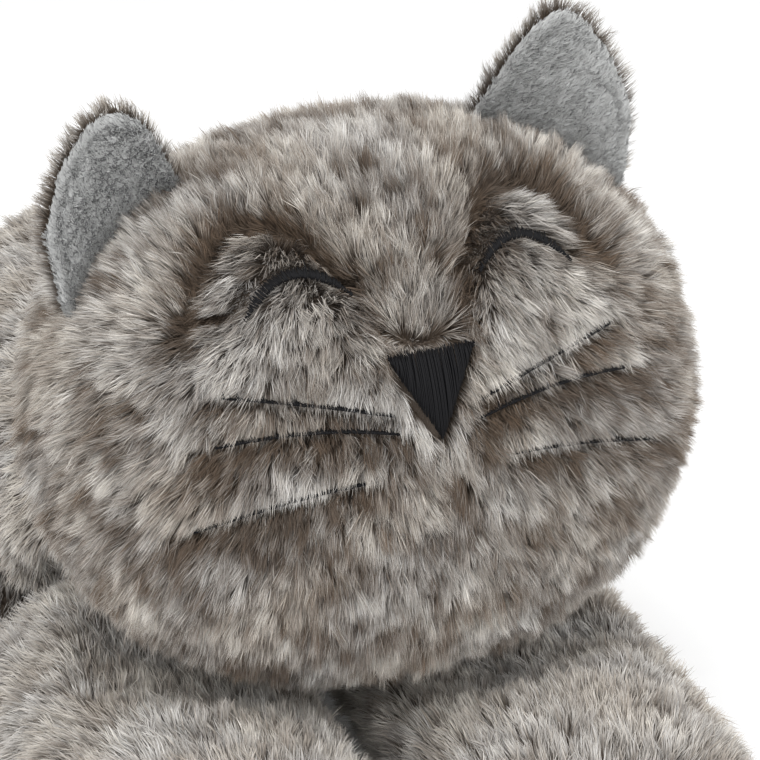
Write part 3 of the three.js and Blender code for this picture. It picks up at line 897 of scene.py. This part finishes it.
class CAT_OT_legs(bpy.types.Operator):
    """Makes the four legs and their pile"""

    bl_idname = "cat.legs"
    bl_label = "Legs"

    def execute(self, context):
        pile = context.scene.cat_pile

        def share(places, normals):
            return np.where(normals[:, 2] < -0.6, 0.4, 1.0)

        for kind in ("foreleg", "hindleg"):
            for side, sign in SIDES:
                leg = f"{kind}_{side}"
                skin = bag(f"{leg}_stuffing", f"{leg}_skin", leg, voxel=0.0035)
                rng = np.random.default_rng(SEEDS[kind] + sign)

                def flow(places, normals, sign=sign):
                    outer = np.clip(sign * normals[:, 0], 0, 1)
                    front = np.clip(-normals[:, 1], 0, 1)
                    way = [sign * (0.1 + 0.5 * outer), 0.9 * (1 - front), 1.2 * front - 0.5 * outer]
                    return np.stack(way, 1)

                density = pile.coat_density * (1.2 if kind == "foreleg" else 0.9)
                # The legs' pile is paler than the face's: partly painted light, standing in for the
                # light that falls on their upturned tops.
                coat(skin, f"{leg}_pile", leg, flow, rng, [f"{leg}_upper", f"{leg}_under"], density,
                     share=share, tone=0.14, uneven=0.5, lift=LOW_COAT_LIFT, broad=LOW_COAT_BROAD)
        return {"FINISHED"}


class CAT_OT_tail(bpy.types.Operator):
    """Makes the tail and its pile"""

    bl_idname = "cat.tail"
    bl_label = "Tail"

    def execute(self, context):
        pile = context.scene.cat_pile
        skin = bag("tail_stuffing", "tail_skin", "tail", voxel=0.0022, smoothing=5)

        def flow(places, normals):
            along = ramp(places[:, 0], 40, 120)
            return np.stack([np.ones(len(along)), 0.3 - along, np.full(len(along), -0.15)], 1)

        rng = np.random.default_rng(SEEDS["tail"])
        coat(skin, "tail_pile", "tail", flow, rng, ["tail_upper", "tail_under"],
             pile.coat_density * 1.2, tone=0.05)
        return {"FINISHED"}


class CAT_OT_neck(bpy.types.Operator):
    """Makes the stuffed neck and the ruff of pile round its seam"""

    bl_idname = "cat.neck"
    bl_label = "Neck"

    def execute(self, context):
        plug = bag("neck_stuffing", "neck_plug", "neck_lower", voxel=0.004)
        ring = bag("neck_seam_ring", "neck_ring", "neck_upper", voxel=0.0016, smoothing=3)

        def flow(places, normals):
            return np.tile((0.0, 1.0, -0.2), (len(places), 1))

        rng = np.random.default_rng(SEEDS["neck"])
        coat(ring, "neck_pile", "neck_upper", flow, rng, [], 1.2, length=8.0)
        coat(plug, "neck_plug_pile", "neck_lower", flow, rng, [], 1.6, length=11.0, uneven=0.6,
             lift=math.radians(48), width=0.5)
        return {"FINISHED"}


def ear_rise(sign):
    """The way an ear points, in the head's axes."""
    slip = math.radians(EAR_SLIP)
    x, y, z = unit(np.array([sign * 0.455, -0.639, 0.62]))
    cos, sin = math.cos(slip), math.sin(slip)
    return np.array([x * cos + z * sin, y, z * cos - x * sin])


def seat_in_pile(piece, rise):
    """Draws the foot of an ear down through the head's pile to its cloth."""
    points, _, _ = surface_of(piece)
    local = row_to_head(points)
    size = (np.abs(local / HEAD_HALF) ** HEAD_POWER).sum(1) ** (1 / HEAD_POWER)
    above = (size - 1) * 100
    pull = np.clip(1 - above / EAR_SEAT_REACH, 0, 1) * EAR_SEAT_DEPTH
    piece.data.vertices.foreach_set("co", ((points - rise * pull[:, None]) * MM).ravel())
    piece.data.update()


class CAT_OT_ears(bpy.types.Operator):
    """Makes the ears: velboa inside, long pile behind"""

    bl_idname = "cat.ears"
    bl_label = "Ears"

    def execute(self, context):
        ear = context.scene.cat_ear
        for side, sign in SIDES:
            body = f"ear_{side}"
            back = bag(f"{body}_back", f"{body}_skin", body, backing=VELBOA_BACKING,
                       voxel=0.0011, smoothing=4)
            lining = bag(f"{body}_lining", f"{body}_lining_cloth", body,
                         backing=VELBOA_BACKING, voxel=0.0008, smoothing=4)
            rise = HEAD_TURN @ ear_rise(sign)
            for cloth in (back, lining):
                seat_in_pile(cloth, rise)
            points, _, _ = surface_of(lining)
            middle = points.mean(0)
            behind = surface_of(back)[0].mean(0) - middle
            behind = unit(behind - (behind @ rise) * rise)

            def toward_tip(places, normals, rise=rise):
                return np.repeat(rise[None], len(places), 0)

            def outside(places, normals, behind=behind):
                return (normals @ behind > EAR_BACK_FACING).astype(float)

            def inside(places, normals, behind=behind):
                return (normals @ behind <= EAR_BACK_FACING).astype(float)

            rng = np.random.default_rng(SEEDS["ear"] + sign)
            coat(back, f"{body}_pile", body, toward_tip, rng, [], 2.6, share=outside, broad=1,
                 length=7.5, tuft=3.0, floor=0.0)
            front = [scatter(cloth, ear.density, rng, inside) for cloth in (lining, back)]
            places, normals = (np.concatenate(arrays) for arrays in zip(*front))
            nap = grow_pile(
                f"{body}_nap", places, normals, toward_tip, velboa_material(), rng,
                length=ear.length / MM, width=0.34, lift=math.radians(26), tuft=1.8,
                gather=0.35, sway=0.16, floor=0.0, uneven=0.6,
            )
            finish(nap, body)
        return {"FINISHED"}


class CAT_OT_embroidery(bpy.types.Operator):
    """Stitches the nose, the closed eyes and the whiskers"""

    bl_idname = "cat.embroidery"
    bl_label = "Embroidery"

    def execute(self, context):
        radius = context.scene.cat_thread.radius / MM
        black = thread_material()
        self.nose(radius, black)
        for side, sign in SIDES:
            eye = self.row(f"eye_{side}_satin", EYE_LINE, sign, EYE_ACROSS, radius, black,
                           EYE_DEPTH, SEEDS["eye"] + sign)
            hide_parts(f"eye_{side}_stitching")
            for number, (name, line) in enumerate(WHISKER_LINES.items()):
                depth = WHISKER_DEPTH + WHISKER_DEPTH_STEP * number
                row = self.row(f"whisker_{side}_{name}_satin", line, sign, WHISKER_ACROSS, radius,
                               black, depth, SEEDS[name] + sign)
                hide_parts(f"whisker_{side}_{name}")
        return {"FINISHED"}

    def nose(self, radius, black):
        """Satin stitches from the nose's top edge to its two slanting edges, in three layers."""
        rng = np.random.default_rng(SEEDS["nose"])
        paths, steps = [], 9
        dip = 1.3 * (1 - np.sin(np.linspace(0.25, math.pi - 0.25, steps)) ** 0.5)
        arch = np.sin(np.linspace(0, math.pi, steps)) * 0.5
        tall = NOSE_TOP - NOSE_TIP
        for layer, depth in enumerate(NOSE_DEPTHS):
            for x in np.arange(-NOSE_HALF_WIDTH + 0.4, NOSE_HALF_WIDTH, radius * 2.05):
                x = x + rng.normal(0, 0.08)
                low = NOSE_TIP + tall * abs(x) / NOSE_HALF_WIDTH + rng.normal(0, 0.25)
                top = NOSE_TOP + 0.3 + abs(rng.normal(0, 0.75)) * (layer > 0)
                z = np.linspace(low, top, steps)
                lean = np.linspace(0, rng.normal(0, 0.25), steps)
                paths.append(head_front(x + lean, z, depth - arch + dip))
        paths = head_to_row(np.array(paths))
        normals = np.broadcast_to(HEAD_TURN @ np.array([0, -1.0, 0]), paths.shape)
        nose = threads("nose_satin", paths, normals, radius, black)
        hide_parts("nose_stitching")
        finish(nose, "head")

    def row(self, name, line, sign, across, radius, black, depth, seed):
        """A line of short satin stitches laid side by side across it."""
        rng = np.random.default_rng(seed)
        inner_x, _, outer_x, _, _ = line
        x = np.arange(inner_x, outer_x, radius * 1.35)
        x = x + rng.normal(0, 0.12, len(x))
        z, _ = line_height(line, x)
        slope = line_height(line, x + 0.5)[0] - line_height(line, x - 0.5)[0]
        angle = np.arctan(slope) + math.radians(78) + rng.normal(0, 0.12, len(x))
        ends = np.clip(np.minimum(x - inner_x, outer_x - x) / 5, 0.35, 1)
        length = across / 2 * ends * rng.normal(1, 0.10, len(x))
        spread = np.linspace(-1, 1, 5)
        reach = length[:, None] * spread[None]
        px = x[:, None] + np.cos(angle)[:, None] * reach
        stray = np.maximum(spread, 0) * rng.exponential(0.35, len(x))[:, None]
        pz = z[:, None] + np.sin(angle)[:, None] * reach + stray
        down = 1.1 * np.abs(spread[None]) ** 2
        paths = head_to_row(head_front(sign * px, pz, depth + down).reshape(-1, 3))
        paths = paths.reshape(len(x), 5, 3)
        facing = HEAD_TURN @ unit(np.array([sign * 0.3, -1.0, 0.1]))
        normals = np.broadcast_to(facing, paths.shape)
        piece = threads(name, paths, normals, radius * 1.1, black)
        finish(piece, "head")
        return piece


class CAT_OT_label(bpy.types.Operator):
    """Makes the blank care label, sewn into the belly seam at the back"""

    bl_idname = "cat.label"
    bl_label = "Label"

    def execute(self, context):
        low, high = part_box("care_label")
        middle = (low + high) / 2
        bpy.ops.mesh.primitive_grid_add(
            x_subdivisions=10, y_subdivisions=14, size=1, location=(0, 0, 0)
        )
        label = context.active_object
        label.name = label.data.name = "label_tape"
        place = np.array([v.co for v in label.data.vertices])
        x, y = place[:, 0] * LABEL_WIDTH, place[:, 1] * LABEL_LENGTH
        curl = LABEL_CURL * (place[:, 1] + 0.5) ** 2 * np.cos(place[:, 0] * 3)
        cos, sin = math.cos(LABEL_TURN), math.sin(LABEL_TURN)
        row = np.stack([x * cos - y * sin, x * sin + y * cos, curl], 1)
        label.data.vertices.foreach_set("co", (row * MM + np.array(middle)).ravel())
        label.data.materials.append(tape_material())
        label.data.update()
        thickness = label.modifiers.new("thickness", "SOLIDIFY")
        thickness.thickness = 0.0006
        thickness.offset = 0
        apply_all(label)
        label.data.shade_smooth()
        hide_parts("care_label")
        finish(label, "torso")
        return {"FINISHED"}


class CAT_OT_stage(bpy.types.Operator):
    """Sets the floor, the lights and the camera"""

    bl_idname = "cat.stage"
    bl_label = "Stage"

    def execute(self, context):
        scene, look = context.scene, context.scene.cat_stage
        scene.view_settings.view_transform = "Standard"
        bpy.ops.mesh.primitive_plane_add(size=8, location=(0, 0, 0))
        floor = context.active_object
        floor.name = "floor"
        material, nodes, links, shader = new_material("pale floor")
        place = nodes.new("ShaderNodeTexCoord").outputs["Object"]
        grain = placed(nodes, links, "ShaderNodeTexNoise", place, Scale=40)
        dull, bright = (0.93, 0.93, 0.93), (0.96, 0.96, 0.96)
        colour = mix_colour(nodes, links, grain.outputs["Fac"], dull, bright)
        links.new(colour, shader.inputs["Base Color"])
        set_inputs(shader, Roughness=0.9, Specular_IOR_Level=0.1)
        floor.data.materials.append(material)

        world = bpy.data.worlds.new("white surroundings")
        world.use_nodes = True
        white = world.node_tree.nodes["Background"]
        set_inputs(white, Color=(1, 1, 1, 1), Strength=look.sky)
        scene.world = world

        target = Vector(HEAD_CENTRE) * MM
        self.light("key", target + KEY_PLACE, target, look.key)
        self.light("fill", target + FILL_PLACE, target, look.key * FILL_SHARE)

        a, e = look.azimuth, look.elevation
        toward = Vector((math.sin(a) * math.cos(e), -math.cos(a) * math.cos(e), math.sin(e)))
        right = Vector((math.cos(a), math.sin(a), 0))
        up = right.cross(-toward)
        camera = bpy.data.objects.new("camera", bpy.data.cameras.new("camera"))
        scene.collection.objects.link(camera)
        aim = target + right * AIM_RIGHT + up * AIM_UP
        camera.location = aim + toward * look.distance
        camera.rotation_euler = (-toward).to_track_quat("-Z", "Y").to_euler()
        camera.data.lens = look.lens
        camera.data.sensor_width = 36
        camera.data.clip_end = 50
        scene.camera = camera
        return {"FINISHED"}

    def light(self, name, place, target, power):
        """A square lamp that looks at the target."""
        lamp = bpy.data.lights.new(name, "AREA")
        lamp.size = LAMP_SIZE
        lamp.energy = power
        light = bpy.data.objects.new(name, lamp)
        bpy.context.scene.collection.objects.link(light)
        light.location = place
        light.rotation_euler = (target - place).to_track_quat("-Z", "Y").to_euler()


OPERATORS = (
    CAT_OT_head,
    CAT_OT_ears,
    CAT_OT_embroidery,
    CAT_OT_neck,
    CAT_OT_body,
    CAT_OT_legs,
    CAT_OT_tail,
    CAT_OT_label,
    CAT_OT_stage,
)


class CAT_PT_sidebar(bpy.types.Panel):
    """Lists the pieces of the cat"""

    bl_label = "Plush Cat"
    bl_idname = "CAT_PT_sidebar"
    bl_space_type = "VIEW_3D"
    bl_region_type = "UI"
    bl_category = "Plush Cat"

    def draw(self, context):
        for operator in OPERATORS:
            self.layout.operator(operator.bl_idname)
        for settings in (context.scene.cat_pile, context.scene.cat_ear, context.scene.cat_thread,
                         context.scene.cat_stage):
            box = self.layout.box()
            for name in settings.__annotations__:
                box.prop(settings, name)


SETTINGS = {
    "cat_pile": PileSettings,
    "cat_ear": EarSettings,
    "cat_thread": ThreadSettings,
    "cat_stage": StageSettings,
}


def register():
    for name, settings in SETTINGS.items():
        bpy.utils.register_class(settings)
        setattr(bpy.types.Scene, name, PointerProperty(type=settings))
    for operator in OPERATORS:
        bpy.utils.register_class(operator)
    bpy.utils.register_class(CAT_PT_sidebar)


def unregister():
    bpy.utils.unregister_class(CAT_PT_sidebar)
    for operator in reversed(OPERATORS):
        bpy.utils.unregister_class(operator)
    for name, settings in reversed(SETTINGS.items()):
        delattr(bpy.types.Scene, name)
        bpy.utils.unregister_class(settings)


def main():
    register()
    bpy.ops.cat.head()
    bpy.ops.cat.ears()
    bpy.ops.cat.embroidery()
    bpy.ops.cat.neck()
    bpy.ops.cat.body()
    bpy.ops.cat.legs()
    bpy.ops.cat.tail()
    bpy.ops.cat.label()
    bpy.ops.cat.stage()


if __name__ == "__main__":
    main()
